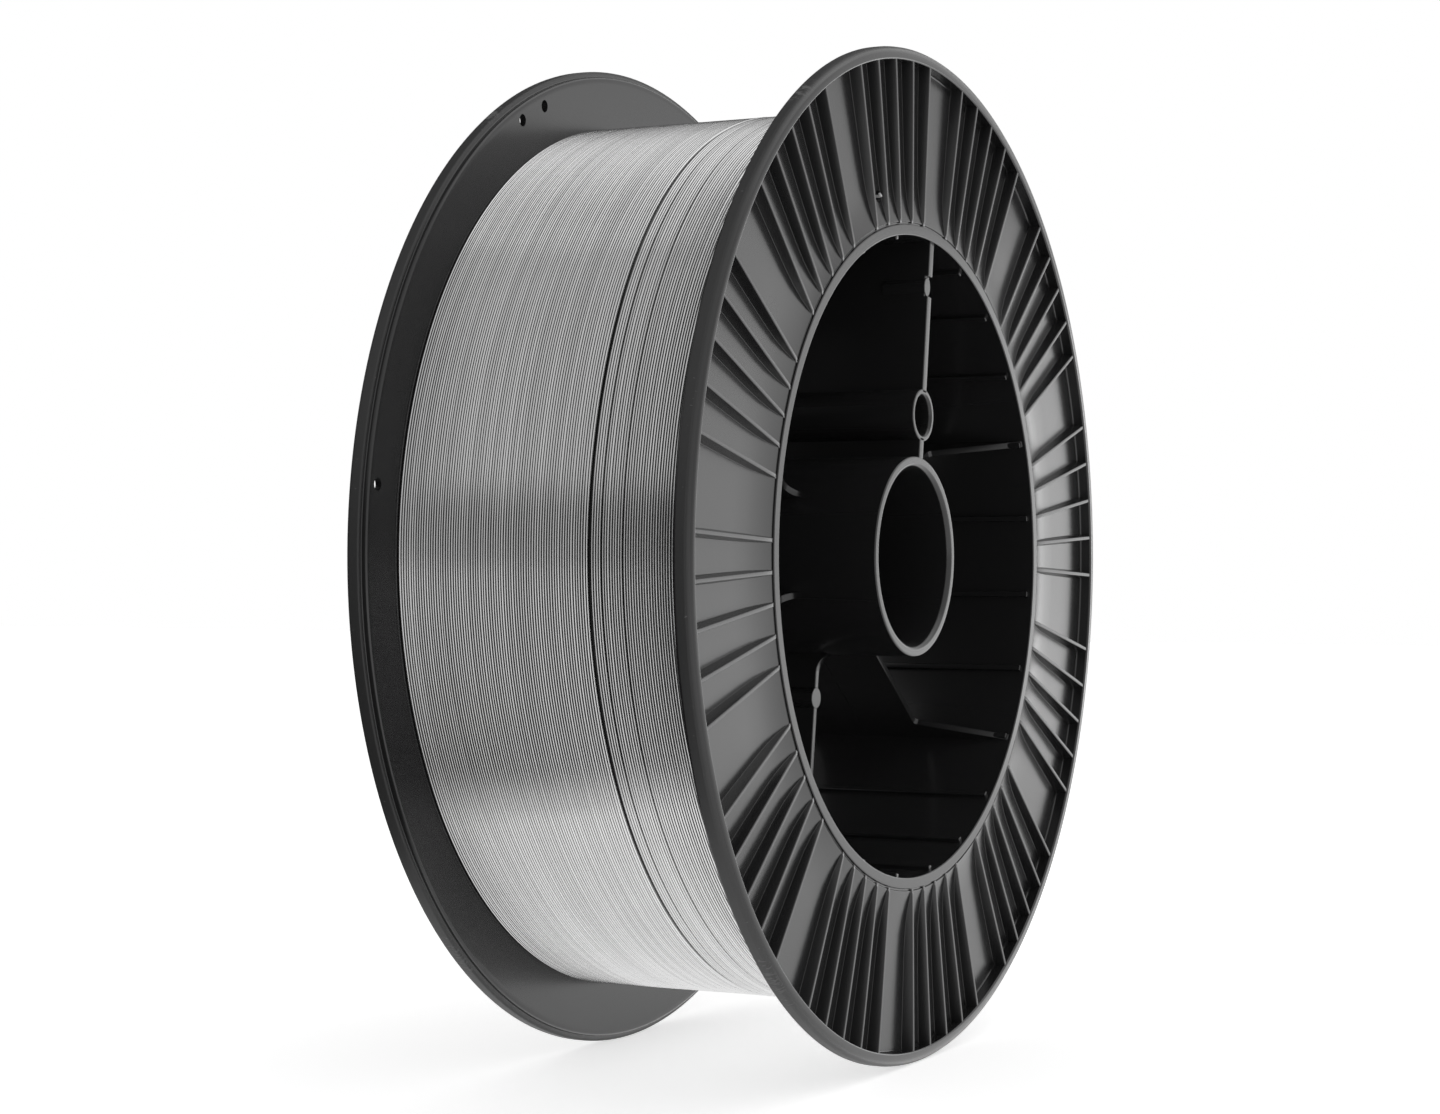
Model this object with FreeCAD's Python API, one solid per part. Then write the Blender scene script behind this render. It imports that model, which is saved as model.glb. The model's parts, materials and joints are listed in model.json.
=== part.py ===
import FreeCAD, Part
import math
import os

# Wire spool for 15 kg of welding wire: two moulded halves joined at mid-width, and the winding.
# Millimetres. Each half is drawn with its axis along Z, its joint face at z = 0 and its outer
# face up. It is then turned so that the spool's axis lies along Y, with the bore centre at the
# middle of the width as the origin.

# Overall
flange_diameter = 297.0
overall_width = 103.0
standing_turn = 7.5  # the spool stands turned this far, clockwise seen from the front flange

# Rim bead of a flange
rim_width = 4.2
rim_wall = 3.8
rim_rounding = 1.4  # on the bead's outer corner
skirt_step = 1.7  # the web's skirt lies this far inside the rim on the wire side

# Flange web, a shallow cone that is deepest at the rim
web_thickness = 2.0
web_depth_at_rim = 3.8
web_depth_at_hub = 1.7

# Barrel that the wire is wound on
barrel_diameter = 195.4
barrel_wall = 3.5
hub_ring_drop = 1.4  # the barrel's end lies this far below the rim

# Arbor tube and its bore
arbor_diameter = 59.0
arbor_bore = 51.5
arbor_lead = 1.0  # sloped way into the bore
arbor_drop = 2.3  # the tube's end lies this far below the rim

# Drive pin hole
pin_tube_diameter = 15.5
pin_hole_diameter = 11.0
pin_radius = 42.2

# Radial webs inside the barrel
spoke_count = 6
spoke_thickness = 2.2
pin_spoke_thickness = 3.0
spoke_top = 19.3  # height of a plain spoke's front edge above the joint
spoke_gusset_reach = 7.5  # a plain spoke climbs the barrel's wall in a gusset this wide
spoke_gusset_drop = 1.0  # the gusset ends this far below the barrel's end
spoke_root_rounding = 6.0  # where a plain spoke meets the arbor tube

# Low ribs along the barrel's inside
stave_count = 24
stave_width = 1.8
stave_height = 1.2
stave_drop = 1.5  # a stave ends this far below the barrel's end

# Radial ribs on a flange's outer face
rib_pitch = 5.0
rib_groups = 12
ribs_per_group = 5
rib_thickness = 1.5
rib_drop = 0.3  # a rib's crest lies this far below the rim's face
rib_slope = 1.4  # a rib rises to its crest over this length at the barrel

# Wire-end holes
wire_hole_diameter = 3.6
end_hole_inset = 2.2  # from the rim's inner wall to the hole's centre
end_hole_spread = 2.75  # an end hole's angle from the middle of its bare place
start_hole_offset = 8.7  # from the barrel to the hole's centre
start_hole_angle = -21.5
back_rib_turn = 2.5  # the back flange's ribs are turned this far against the drive pin hole

# Winding
winding_build = 33.3  # height of the layers of wire above the barrel
winding_gap = 0.1  # between the winding and the plastic around it

# A rib, web, tube or stave is sunk this far into what carries it, to be one moulding with it
sink = 1.0

half_width = overall_width / 2
rim_radius = flange_diameter / 2
rim_inside = rim_radius - rim_wall
skirt_radius = rim_radius - skirt_step
barrel_radius = barrel_diameter / 2
barrel_inside = barrel_radius - barrel_wall
arbor_radius = arbor_diameter / 2
bore_radius = arbor_bore / 2
pin_hole_radius = pin_hole_diameter / 2
hub_ring_top = half_width - hub_ring_drop
arbor_top = half_width - arbor_drop
end_hole_radius = rim_inside - end_hole_inset
start_hole_radius = barrel_radius + start_hole_offset

centre = FreeCAD.Vector(0, 0, 0)
spool_axis = FreeCAD.Vector(0, 0, 1)


def web_top(radius):
    """Height of the flange's outer face at a radius."""
    share = (radius - barrel_radius) / (rim_inside - barrel_radius)
    return half_width - web_depth_at_hub - share * (web_depth_at_rim - web_depth_at_hub)


def web_underside(radius):
    """Height of the flange's wire side at a radius."""
    return web_top(radius) - web_thickness


def rounded_corner(before, corner, after, rounding):
    """A corner of an outline rounded as two flats, from its (radius, height) points."""
    corner = FreeCAD.Vector(corner[0], corner[1], 0)
    back = FreeCAD.Vector(before[0], before[1], 0).sub(corner).normalize()
    ahead = FreeCAD.Vector(after[0], after[1], 0).sub(corner).normalize()
    half_turn = back.getAngle(ahead) / 2
    reach = rounding / math.tan(half_turn)
    to_middle = rounding / math.sin(half_turn) - rounding
    middle = corner.add(back.add(ahead).normalize() * to_middle)
    points = [corner.add(back * reach), middle, corner.add(ahead * reach)]
    return [(point.x, point.y) for point in points]


def outline(points):
    """A closed outline of (radius, height) points, drawn along X."""
    corners = [FreeCAD.Vector(radius, 0, height) for radius, height in points]
    return Part.Face(Part.makePolygon(corners + corners[:1]))


def turned(points):
    """A full turn of an outline about the spool's axis."""
    return outline(points).revolve(centre, spool_axis, 360)


def along(shape, angle):
    """Turns a shape from straight up, clockwise seen from the outer face."""
    moved = shape.copy()
    moved.rotate(centre, spool_axis, -angle)
    return moved


def upright_plate(points, thickness):
    """A plate of this outline, in the plane through the axis and straight up."""
    plate = outline(points).extrude(FreeCAD.Vector(0, thickness, 0))
    plate.translate(FreeCAD.Vector(0, -thickness / 2, 0))
    plate.rotate(centre, spool_axis, 90)
    return plate


def flange_and_barrel():
    """The flange's rim and web and the half barrel, as one turned solid."""
    rim_floor = half_width - rim_width
    rim_edge = (rim_inside, half_width)
    rim_corner = (rim_radius, half_width)
    rim_floor_corner = (rim_radius, rim_floor)
    return turned([
        (barrel_inside, 0),
        (barrel_inside, hub_ring_top),
        (barrel_radius, hub_ring_top),
        (barrel_radius, web_top(barrel_radius)),
        (rim_inside, web_top(rim_inside)),
        rim_edge,
        *rounded_corner(rim_edge, rim_corner, rim_floor_corner, rim_rounding),
        rim_floor_corner,
        (skirt_radius, rim_floor),
        (skirt_radius, web_underside(skirt_radius)),
        (barrel_radius, web_underside(barrel_radius)),
        (barrel_radius, 0),
    ])


def arbor_tube():
    """Half of the tube that the machine's arbor passes through."""
    return turned([
        (bore_radius, 0),
        (bore_radius, arbor_top - arbor_lead),
        (bore_radius + arbor_lead, arbor_top),
        (arbor_radius, arbor_top),
        (arbor_radius, 0),
    ])


def plain_spoke():
    """A web between the arbor tube and the barrel, deep below the face, with a gusset."""
    gusset_foot = (barrel_inside - spoke_gusset_reach, spoke_top)
    gusset_top = hub_ring_top - spoke_gusset_drop
    root_corner = (arbor_radius, spoke_top)
    above_root = (arbor_radius, hub_ring_top)
    root = rounded_corner(above_root, root_corner, gusset_foot, spoke_root_rounding)
    return upright_plate([
        (arbor_radius - sink, 0),
        (arbor_radius - sink, root[0][1]),
        *root,
        gusset_foot,
        (barrel_inside, gusset_top),
        (barrel_inside + sink, gusset_top),
        (barrel_inside + sink, 0),
    ], spoke_thickness)


def pin_spoke():
    """The web that carries the drive pin's tube, up to the face."""
    return upright_plate([
        (arbor_radius - sink, 0),
        (arbor_radius - sink, arbor_top),
        (barrel_inside + sink, arbor_top),
        (barrel_inside + sink, 0),
    ], pin_spoke_thickness)


def pin_tube():
    """The tube for the machine's drive pin, joined to its web."""
    tube = Part.makeCylinder(pin_tube_diameter / 2, arbor_top)
    tube.translate(FreeCAD.Vector(0, pin_radius, 0))
    return tube


def pin_hole():
    """The hole for the drive pin."""
    hole = Part.makeCylinder(pin_hole_radius, overall_width)
    hole.translate(FreeCAD.Vector(0, pin_radius, 0))
    return hole


def face_ribs(turn):
    """Wedge-shaped ribs on the flange's outer face, in groups with a bare place between."""
    rib = upright_plate([
        (barrel_radius, web_top(barrel_radius) - sink),
        (barrel_radius, web_top(barrel_radius)),
        (barrel_radius + rib_slope, hub_ring_top),
        (rim_inside + sink, half_width - rib_drop),
        (rim_inside + sink, web_top(rim_inside) - sink),
    ], rib_thickness)
    group_angle = 360 / rib_groups
    shapes = []
    for group in range(rib_groups):
        for place in range(1, ribs_per_group + 1):
            shapes.append(along(rib, turn + group * group_angle + place * rib_pitch))
    return shapes


def staves():
    """Low ribs along the inside of the barrel."""
    stave = upright_plate([
        (barrel_inside - stave_height, 0),
        (barrel_inside - stave_height, hub_ring_top - stave_drop),
        (barrel_inside + sink, hub_ring_top - stave_drop),
        (barrel_inside + sink, 0),
    ], stave_width)
    return [along(stave, index * 360 / stave_count) for index in range(stave_count)]


def wire_hole(radius, angle):
    """A hole through the flange's web for an end of the wire."""
    hole = Part.makeCylinder(wire_hole_diameter / 2, overall_width)
    hole.translate(FreeCAD.Vector(0, radius, 0))
    return along(hole, angle)


def spool_half(rib_turn, wire_holes):
    """One moulded half, standing on its joint face."""
    pieces = [arbor_tube(), pin_spoke(), pin_tube()]
    spoke = plain_spoke()
    for index in range(1, spoke_count):
        pieces.append(along(spoke, index * 360 / spoke_count))
    pieces += staves()
    pieces += face_ribs(rib_turn)
    half = flange_and_barrel().fuse(pieces)
    half = half.cut(pin_hole())
    for radius, angle in wire_holes:
        half = half.cut(wire_hole(radius, angle))
    return half.removeSplitter()


def winding():
    """The layers of wire between the flanges, as one turned solid with its bore."""
    inside = barrel_radius + winding_gap
    outside = barrel_radius + winding_build
    top_inside = web_underside(inside) - winding_gap
    top_outside = web_underside(outside) - winding_gap
    return turned([
        (inside, -top_inside),
        (inside, top_inside),
        (outside, top_outside),
        (outside, -top_outside),
    ])


def place(shape, flipped):
    """Stands a half or the winding in the spool's frame."""
    placed = shape.copy()
    if flipped:
        placed.rotate(centre, FreeCAD.Vector(0, 1, 0), 180)
    placed.rotate(centre, spool_axis, -standing_turn)
    placed.rotate(centre, FreeCAD.Vector(1, 0, 0), 90)
    return placed


def main():
    group_angle = 360 / rib_groups
    first_bare = back_rib_turn + group_angle
    second_bare = back_rib_turn + 3 * group_angle
    end_holes = [
        (end_hole_radius, first_bare - end_hole_spread),
        (end_hole_radius, first_bare + end_hole_spread),
        (end_hole_radius, second_bare - end_hole_spread),
    ]
    parts = {
        "front_spool_half": place(spool_half(0, [(start_hole_radius, start_hole_angle)]), False),
        "back_spool_half": place(spool_half(back_rib_turn, end_holes), True),
        "wire_winding": place(winding(), False),
    }
    os.makedirs("parts", exist_ok=True)
    for name, shape in parts.items():
        solids = shape.Solids
        print(name, "solids", len(solids), "valid", shape.isValid(), "cm3", round(shape.Volume / 1000, 1))
        solid = solids[0] if len(solids) == 1 else shape
        solid.exportStep("parts/" + name + ".step")


main()
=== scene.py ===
import bpy
import bmesh
import json
import math
from mathutils import Matrix, Vector


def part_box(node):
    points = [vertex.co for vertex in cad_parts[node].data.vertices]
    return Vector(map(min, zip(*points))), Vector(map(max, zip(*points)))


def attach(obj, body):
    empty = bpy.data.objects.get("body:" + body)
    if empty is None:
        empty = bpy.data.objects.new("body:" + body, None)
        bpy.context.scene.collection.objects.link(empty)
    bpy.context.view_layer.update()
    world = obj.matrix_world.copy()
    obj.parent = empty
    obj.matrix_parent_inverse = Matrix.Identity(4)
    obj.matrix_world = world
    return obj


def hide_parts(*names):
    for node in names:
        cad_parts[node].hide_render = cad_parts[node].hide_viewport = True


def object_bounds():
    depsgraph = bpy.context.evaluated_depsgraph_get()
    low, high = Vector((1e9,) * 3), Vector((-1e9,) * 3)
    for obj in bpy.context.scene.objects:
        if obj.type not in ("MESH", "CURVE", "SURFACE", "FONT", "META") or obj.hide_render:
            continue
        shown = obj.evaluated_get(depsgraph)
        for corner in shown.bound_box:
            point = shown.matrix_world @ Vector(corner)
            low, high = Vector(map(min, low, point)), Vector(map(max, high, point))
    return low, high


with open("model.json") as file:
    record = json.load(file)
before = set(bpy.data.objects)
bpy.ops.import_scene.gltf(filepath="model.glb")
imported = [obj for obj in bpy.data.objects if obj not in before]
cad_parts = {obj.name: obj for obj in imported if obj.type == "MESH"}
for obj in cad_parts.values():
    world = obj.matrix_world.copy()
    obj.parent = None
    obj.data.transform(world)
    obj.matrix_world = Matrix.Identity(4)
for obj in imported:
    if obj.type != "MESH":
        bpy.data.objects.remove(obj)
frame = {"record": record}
cadLow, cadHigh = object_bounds()
scene = bpy.context.scene
mm = 0.001
fullTurn = 2 * math.pi
weldWithin = 0.001 * mm  # points nearer than this are one
sharpTurn = math.radians(60)  # an edge that turns by more is rounded
smoothTurn = math.radians(50)  # an edge that turns by less is shaded smooth

# sizes that the frame already holds
mounts = {mount["name"]: mount for mount in frame["record"]["mounts"]}
pinX, _, pinZ = mounts["drive_pin_hole"]["pos_m"]
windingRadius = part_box("wire_winding")[1].x
spool = {
    "halfWidth": cadHigh.y,
    "rimRadius": (cadHigh.x - cadLow.x) / 2,
    "boreRadius": mounts["arbor_bore"]["dims"]["r_mm"] * mm,
    "pinHoleRadius": mounts["drive_pin_hole"]["dims"]["r_mm"] * mm,
    "pinRadius": math.hypot(pinX, pinZ),
    "standingTurn": math.atan2(pinX, pinZ),  # clockwise seen from the front
}


class Value:
    # an output socket that can be used in sums, each of which adds a Math node
    def __init__(self, nodes, socket):
        self.nodes, self.socket = nodes, socket

    def __getitem__(self, name):
        return Value(self.nodes, self.socket.node.outputs[name])

    def __add__(self, other):
        return self.nodes.math("ADD", self, other)

    def __sub__(self, other):
        return self.nodes.math("SUBTRACT", self, other)

    def __rsub__(self, other):
        return self.nodes.math("SUBTRACT", other, self)

    def __mul__(self, other):
        return self.nodes.math("MULTIPLY", self, other)

    def __truediv__(self, other):
        return self.nodes.math("DIVIDE", self, other)

    def __rtruediv__(self, other):
        return self.nodes.math("DIVIDE", other, self)

    def __mod__(self, other):
        return self.nodes.math("FLOORED_MODULO", self, other)

    def __pow__(self, other):
        return self.nodes.math("POWER", self, other)

    def __lt__(self, other):
        return self.nodes.math("LESS_THAN", self, other)

    def __gt__(self, other):
        return self.nodes.math("GREATER_THAN", self, other)

    def __abs__(self):
        return self.nodes.math("ABSOLUTE", self)

    __radd__, __rmul__ = __add__, __mul__


class Nodes:
    # adds nodes to one shader or geometry tree
    def __init__(self, tree):
        self.tree = tree

    def node(self, kind, settings=None, sockets=None):
        made = self.tree.nodes.new(kind)
        for name, setting in (settings or {}).items():
            setattr(made, name, setting)
        for name, value in (sockets or {}).items():
            if isinstance(name, int):
                socket = made.inputs[name]
            else:
                socket = next(s for s in made.inputs if s.enabled and s.name == name)
            if isinstance(value, Value):
                self.tree.links.new(value.socket, socket)
            else:
                socket.default_value = value
        shown = [s for s in made.outputs if s.enabled]
        return Value(self, shown[0] if shown else None)

    def math(self, operation, *values):
        return self.node("ShaderNodeMath", {"operation": operation}, dict(enumerate(values)))

    def ease(self, value, start, end):
        # 0 before start, 1 after end, smooth between
        return self.node("ShaderNodeMapRange", {"interpolation_type": "SMOOTHSTEP"},
                         {"Value": value, "From Min": start, "From Max": end})

    def clamped(self, value):
        return self.node("ShaderNodeClamp", {}, {"Value": value})

    def noise(self, dimensions, sockets):
        return self.node("ShaderNodeTexNoise", {"noise_dimensions": dimensions}, sockets)

    def mixColor(self, factor, a, b):
        return self.node("ShaderNodeMix", {"data_type": "RGBA"}, {"Factor": factor, "A": a, "B": b})


def grey(tone):
    return (tone, tone, tone, 1)


def plainMesh(holder):
    # what an object's curve or modifiers make, as a plain mesh
    return bpy.data.meshes.new_from_object(holder.evaluated_get(bpy.context.evaluated_depsgraph_get()))


def newMaterial(name):
    # an empty material and its nodes
    material = bpy.data.materials.new(name)
    material.use_nodes = True
    material.node_tree.nodes.clear()
    return material, Nodes(material.node_tree)


def geometryTree(name, inputs):
    # a geometry tree with named inputs, given as {name: socket type}
    tree = bpy.data.node_groups.new(name, "GeometryNodeTree")
    tree.interface.new_socket("Geometry", in_out="OUTPUT", socket_type="NodeSocketGeometry")
    tree.interface.new_socket("Geometry", in_out="INPUT", socket_type="NodeSocketGeometry")
    for label, kind in inputs.items():
        tree.interface.new_socket(label, in_out="INPUT", socket_type="NodeSocket" + kind)
    nodes = Nodes(tree)
    return nodes, nodes.node("NodeGroupInput")


def runTree(nodes, values, mesh=None):
    # the plain mesh that a geometry tree makes with these input values
    holder = bpy.data.objects.new("holder", mesh or bpy.data.meshes.new("holder"))
    scene.collection.objects.link(holder)
    modifier = holder.modifiers.new("nodes", "NODES")
    modifier.node_group = nodes.tree
    for item in nodes.tree.interface.items_tree:
        if item.in_out == "INPUT" and item.name in values:
            modifier[item.identifier] = values[item.name]
    made = plainMesh(holder)
    bpy.data.objects.remove(holder)
    return made


def roundedOutline(corners, steps):
    # corners are (radius, height, rounding)
    points = []
    for index, (radius, height, rounding) in enumerate(corners):
        corner = Vector((radius, height))
        if not rounding:
            points.append(corner)
            continue
        back = (Vector(corners[index - 1][:2]) - corner).normalized()
        ahead = (Vector(corners[(index + 1) % len(corners)][:2]) - corner).normalized()
        halfAngle = back.angle(ahead) / 2
        centre = corner + (back + ahead).normalized() * rounding / math.sin(halfAngle)
        start = corner + back * rounding / math.tan(halfAngle) - centre
        end = corner + ahead * rounding / math.tan(halfAngle) - centre
        reach = start.length  # slerp itself gives unit vectors
        points += [centre + start.slerp(end, step / steps) * reach for step in range(steps + 1)]
    return points


def meshFrom(name, work):
    # finishes a bmesh: doubles merged, faces outward
    bmesh.ops.remove_doubles(work, verts=work.verts, dist=weldWithin)
    bmesh.ops.recalc_face_normals(work, faces=work.faces)
    mesh = bpy.data.meshes.new(name)
    work.to_mesh(mesh)
    work.free()
    return mesh


def turnedMesh(name, outline, segments, centreY=0.0):
    # a closed outline of (radius, height) points turned about Z
    work = bmesh.new()
    rings = []
    for step in range(segments):
        angle = fullTurn * step / segments
        ring = [(r * math.sin(angle), centreY + r * math.cos(angle), h) for r, h in outline]
        rings.append([work.verts.new(place) for place in ring])
    for index in range(segments):
        ring, nextRing = rings[index - 1], rings[index]
        for k in range(len(outline)):
            work.faces.new((ring[k - 1], ring[k], nextRing[k], nextRing[k - 1]))
    return meshFrom(name, work)


def roundEdges(work, rounding):
    sharp = [e for e in work.edges if abs(e.calc_face_angle(0)) > sharpTurn]
    bmesh.ops.bevel(work, geom=sharp, offset=rounding, segments=2, profile=0.5, affect="EDGES")


def plateMesh(name, outline, thickness, edgeRounding):
    # a plate of (radius, height) points in the plane through the axis and straight up
    work = bmesh.new()
    face = work.faces.new([work.verts.new((-thickness / 2, r, h)) for r, h in outline])
    side = bmesh.ops.extrude_face_region(work, geom=[face])
    moved = [item for item in side["geom"] if isinstance(item, bmesh.types.BMVert)]
    bmesh.ops.translate(work, vec=(thickness, 0, 0), verts=moved)
    bmesh.ops.recalc_face_normals(work, faces=work.faces)
    roundEdges(work, edgeRounding)
    return meshFrom(name, work)


def padMesh(name, radius, place, top, depth, edgeRounding):
    # a round pad with its axis along Z
    work = bmesh.new()
    bmesh.ops.create_cone(work, cap_ends=True, segments=32, radius1=radius, radius2=radius, depth=depth,
                          matrix=Matrix.Translation((0, place, top - depth / 2)))
    roundEdges(work, edgeRounding)
    return meshFrom(name, work)


def joined(name, meshes, place=Matrix()):
    work = bmesh.new()
    for mesh in meshes:
        work.from_mesh(mesh)
    mesh = bpy.data.meshes.new(name)
    work.to_mesh(mesh)
    work.free()
    mesh.transform(place)
    return mesh


def cut(mesh, cutters):
    # the mesh with the cutters taken out of it
    body = bpy.data.objects.new("cutBody", mesh)
    tool = bpy.data.objects.new("cutTool", joined("cutTool", cutters))
    for thing in (body, tool):
        scene.collection.objects.link(thing)
    modifier = body.modifiers.new("cut", "BOOLEAN")
    modifier.operation = "DIFFERENCE"
    modifier.solver = "EXACT"
    modifier.object = tool
    made = plainMesh(body)
    for thing in (body, tool):
        bpy.data.objects.remove(thing)
    return made


def turnedAbout(mesh, degrees):
    # a copy turned about Z, clockwise seen from the outer face
    copy = mesh.copy()
    copy.transform(Matrix.Rotation(-math.radians(degrees), 4, "Z"))
    return copy


def finishedPiece(name, mesh, material):
    # smooth shading with real edges kept, and the piece put in the scene
    mesh.name = name
    mesh.materials.clear()
    mesh.materials.append(material)
    mesh.shade_smooth()
    mesh.set_sharp_from_angle(angle=smoothTurn)
    piece = bpy.data.objects.new(name, mesh)
    scene.collection.objects.link(piece)
    # wide flat faces keep their own normal beside narrow roundings
    weighted = piece.modifiers.new("weighted", "WEIGHTED_NORMAL")
    weighted.keep_sharp = True
    piece.data = plainMesh(piece)
    piece.modifiers.clear()
    return piece


plastic = {
    "color": (0.015, 0.015, 0.0154, 1),
    "scuffColor": grey(0.11),
    "roughness": 0.22,
    "roughnessSpread": 0.08,
    "cloudSize": 28 * mm,  # of the patches that differ in roughness
    "rimRoughness": 0.3,  # more on the rims' worn sides
    "rimWear": 0.1,  # a little scuff colour all over them
    "rimEdge": (1.3 * mm, 0.3 * mm),  # the wear comes in between these depths inside the rim
    "grainSize": 0.35 * mm,
    "grainHeight": 0.004 * mm,
    "grainStrength": 0.4,
    "rimCrown": 0.9 * mm,  # how far a rim's narrow face seems to fall away outwards
    "scuffPlaces": ((-32, 5), (-139, 7), (64, 6)),  # angle and spread in degrees, clockwise from the top
    "scuffStrokes": 130.0,  # for each radian round the rim
    "scuffLength": 3 * mm,  # along the spool's axis
    "scuffHeight": 4 * mm,  # away from the axis
    "scuffMore": 0.2,  # more strokes at those places
    "scuffFrom": (0.66, 0.74),  # a stroke comes in between these values of its noise
    "scuffRoughness": 0.15,
}


def blackPlastic():
    material, nodes = newMaterial("black_plastic_satin")
    place = nodes.node("ShaderNodeTexCoord")["Object"]
    cloud = nodes.noise("3D", {"Vector": place, "Scale": 1 / plastic["cloudSize"], "Detail": 4.0})
    grain = nodes.noise("3D", {"Vector": place, "Scale": 1 / plastic["grainSize"], "Detail": 2.0})
    axes = nodes.node("ShaderNodeSeparateXYZ", {}, {0: place})
    radius = (axes["X"] ** 2 + axes["Z"] ** 2) ** 0.5
    angle = nodes.math("ARCTAN2", axes["X"], axes["Z"])
    # short strokes across the outer corner of each rim, where the spool has been rolled and knocked
    edgeStart, edgeEnd = [spool["rimRadius"] - depth for depth in plastic["rimEdge"]]
    outerCorner = nodes.ease(radius, edgeStart, edgeEnd)
    atScuff = 0.0
    for degrees, spread in plastic["scuffPlaces"]:
        away = abs(angle - math.radians(degrees)) / math.radians(spread)
        atScuff = nodes.math("MAXIMUM", 1 - away, atScuff)
    across = nodes.node("ShaderNodeCombineXYZ", {}, {
        "X": angle * plastic["scuffStrokes"], "Y": axes["Y"] / plastic["scuffLength"],
        "Z": radius / plastic["scuffHeight"]})
    stroke = nodes.noise("3D", {"Vector": across, "Scale": 1.0, "Detail": 3.0, "Roughness": 0.7})
    stroke = stroke + plastic["scuffMore"] * nodes.clamped(atScuff)
    scuff = nodes.ease(stroke, *plastic["scuffFrom"]) * outerCorner
    worn = nodes.math("MAXIMUM", scuff, plastic["rimWear"] * outerCorner)
    color = nodes.mixColor(worn, plastic["color"], plastic["scuffColor"])
    rough = plastic["roughness"] + plastic["roughnessSpread"] * (cloud - 0.5)
    rough = rough + plastic["scuffRoughness"] * scuff + plastic["rimRoughness"] * outerCorner
    outward = nodes.clamped((radius - rimInside) / flange["rimWall"])
    crown = nodes.node("ShaderNodeBump", {}, {
        "Strength": 1.0, "Distance": -plastic["rimCrown"], "Height": outward ** 2})
    bump = nodes.node("ShaderNodeBump", {}, {
        "Strength": plastic["grainStrength"], "Distance": plastic["grainHeight"], "Height": grain,
        "Normal": crown})
    shader = nodes.node("ShaderNodeBsdfPrincipled", {}, {
        "Base Color": color, "Roughness": rough, "Normal": bump, "IOR": 1.5})
    nodes.node("ShaderNodeOutputMaterial", {}, {"Surface": shader})
    return material


def ringArrayTree():
    # copies of a shape round the spool's axis, in groups
    nodes, group = geometryTree("ring_array", {
        "Groups": "Int", "Per Group": "Int", "Group Start": "Float", "Pitch": "Float",
        "Material": "Material"})
    points = nodes.node("GeometryNodePoints", {}, {"Count": group["Groups"] * group["Per Group"]})
    index = nodes.node("GeometryNodeInputIndex")
    groupIndex = nodes.math("FLOOR", index / group["Per Group"])
    groupAngle = group["Group Start"] + groupIndex * (fullTurn / group["Groups"])
    angle = groupAngle + (index % group["Per Group"]) * group["Pitch"]
    turn = nodes.node("ShaderNodeCombineXYZ", {}, {"Z": -1 * angle})
    copies = nodes.node("GeometryNodeInstanceOnPoints", {}, {
        "Points": points, "Instance": group["Geometry"], "Rotation": turn})
    solid = nodes.node("GeometryNodeRealizeInstances", {}, {"Geometry": copies})
    dressed = nodes.node("GeometryNodeSetMaterial", {}, {"Geometry": solid, "Material": group["Material"]})
    nodes.node("NodeGroupOutput", {}, {"Geometry": dressed})
    return nodes


flange = {
    "rimWall": 3.8 * mm,
    "rimWidth": 4.2 * mm,
    "rimRounding": 1.9 * mm,
    "rimInnerRounding": 0.6 * mm,
    "rimBackRounding": 0.4 * mm,
    "skirtStep": 1.7 * mm,
    "skirtFillet": 0.3 * mm,
    "skirtRounding": 0.8 * mm,
    "webThickness": 2.0 * mm,
    "webDepthAtRim": 3.8 * mm,
    "webDepthAtHub": 1.7 * mm,
    # the outer face dips fast beside the hub ring and is then nearly flat: (from the ring, depth)
    "webSteps": ((3.5 * mm, 2.45 * mm), (8.0 * mm, 3.05 * mm), (13.0 * mm, 3.45 * mm), (20.0 * mm, 3.6 * mm)),
    "webFillet": 0.6 * mm,
    "barrelRadius": 97.7 * mm,
    "barrelWall": 3.5 * mm,
    "barrelFillet": 0.5 * mm,
    "hubRingDrop": 1.4 * mm,
    "hubRingRounding": 0.35 * mm,
    "creaseWidth": 0.7 * mm,  # the fine groove round the hub ring
    "creaseDepth": 0.8 * mm,
    "creaseRounding": 0.3 * mm,
    "creaseFillet": 0.2 * mm,
    "segments": 256,
    "arcSteps": 4,
}

rib = {
    "groups": 12,
    "perGroup": 5,
    "pitch": math.radians(5),
    "footWidth": 2.4 * mm,
    "crestWidth": 1.15 * mm,
    "crestRounding": 0.2 * mm,
    "rootFillet": 0.1 * mm,
    "crestDrop": 0.3 * mm,
    "draftHeight": 3 * mm,  # a rib this high or higher has its whole foot's width
    "slope": 1.4 * mm,
    "startHeight": 0.02 * mm,
    "roundingShare": 0.4,  # a rounding takes no more of the height
    "cornerPull": 0.3,  # a rounded corner's middle lies this share of its radius inside the corner
    "stations": 9,
    "backTurn": math.radians(2.5),
}

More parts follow.
